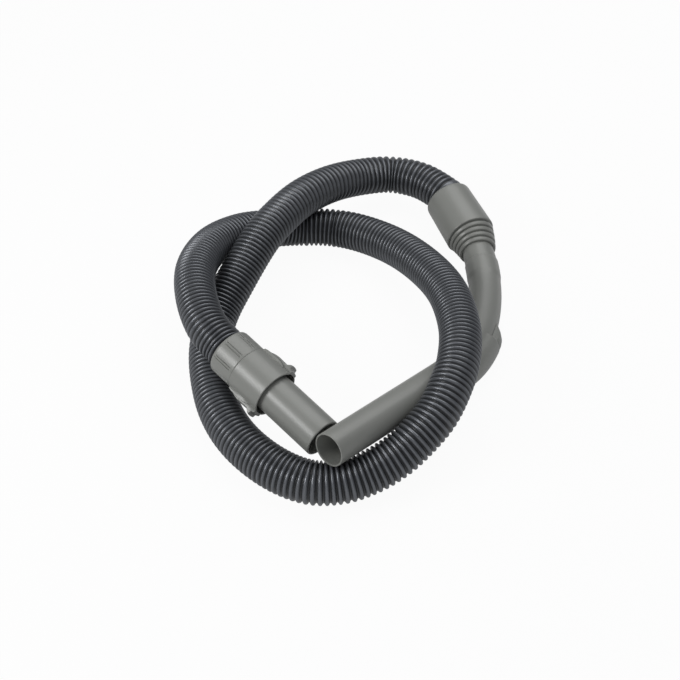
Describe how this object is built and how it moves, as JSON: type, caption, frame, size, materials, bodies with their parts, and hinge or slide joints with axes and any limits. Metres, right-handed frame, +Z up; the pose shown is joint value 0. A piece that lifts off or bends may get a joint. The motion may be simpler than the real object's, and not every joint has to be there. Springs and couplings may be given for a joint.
{
  "type": "vacuum cleaner hose",
  "caption": "Corrugated vacuum cleaner hose lying in a coil, with a bent handle tube with a suction slide at one end and a swivelling, latched machine connector at the other.",
  "frame": {"origin": "on the floor, under the middle of the two rigid fittings' common box", "axes": "+Z up from the floor; the handle's straight tube points roughly along -Y and the machine connector roughly along +X"},
  "size_m": [0.3572, 0.4225, 0.0873],
  "materials": {
    "body_plastic": "fine satin moulding texture",
    "dark_plastic": "plain",
    "black_rubber": "plain",
    "spring_steel": "drawn wire",
    "hose_plastic": "metallic grey, glossy ribs"
  },
  "bodies": {
    "hose_line": {"hose": "hose_plastic", "machine_cuff": "body_plastic", "swivel_washer": "black_rubber", "swivel_retaining_ring": "spring_steel", "handle_tube": "body_plastic", "handle_neck": "body_plastic", "handle_cuff": "body_plastic", "handle_seal": "black_rubber", "handle_bush": "dark_plastic"},
    "connector": {"connector_tube": "body_plastic", "connector_collar": "body_plastic"},
    "latch_a": {"latch_upper": "body_plastic"},
    "latch_b": {"latch_lower": "body_plastic"},
    "slide": {"suction_slide": "body_plastic"}
  },
  "joints": [
    {"name": "connector_swivel", "type": "hinge", "parent": "hose_line", "child": "connector", "pos_m": [-0.0327, -0.16361, 0.05479], "axis": [0.9901, -0.0173, -0.1392], "continuous": true},
    {"name": "latch_a_press", "type": "hinge", "parent": "connector", "child": "latch_a", "pos_m": [-0.02985, -0.14335, 0.06534], "axis": [-0.1147, 0.4715, -0.8744], "range_deg": [0, 5], "stiffness_Nm_per_rad": 0.8},
    {"name": "latch_b_press", "type": "hinge", "parent": "connector", "child": "latch_b", "pos_m": [-0.03356, -0.18391, 0.04396], "axis": [0.1147, -0.4715, 0.8744], "range_deg": [0, 5], "stiffness_Nm_per_rad": 0.8},
    {"name": "slide_travel", "type": "hinge", "parent": "hose_line", "child": "slide", "pos_m": [-0.10738, -0.02864, 0.07787], "axis": [0.2491, 0.1829, 0.9511], "range_deg": [0, 2.05]}
  ]
}
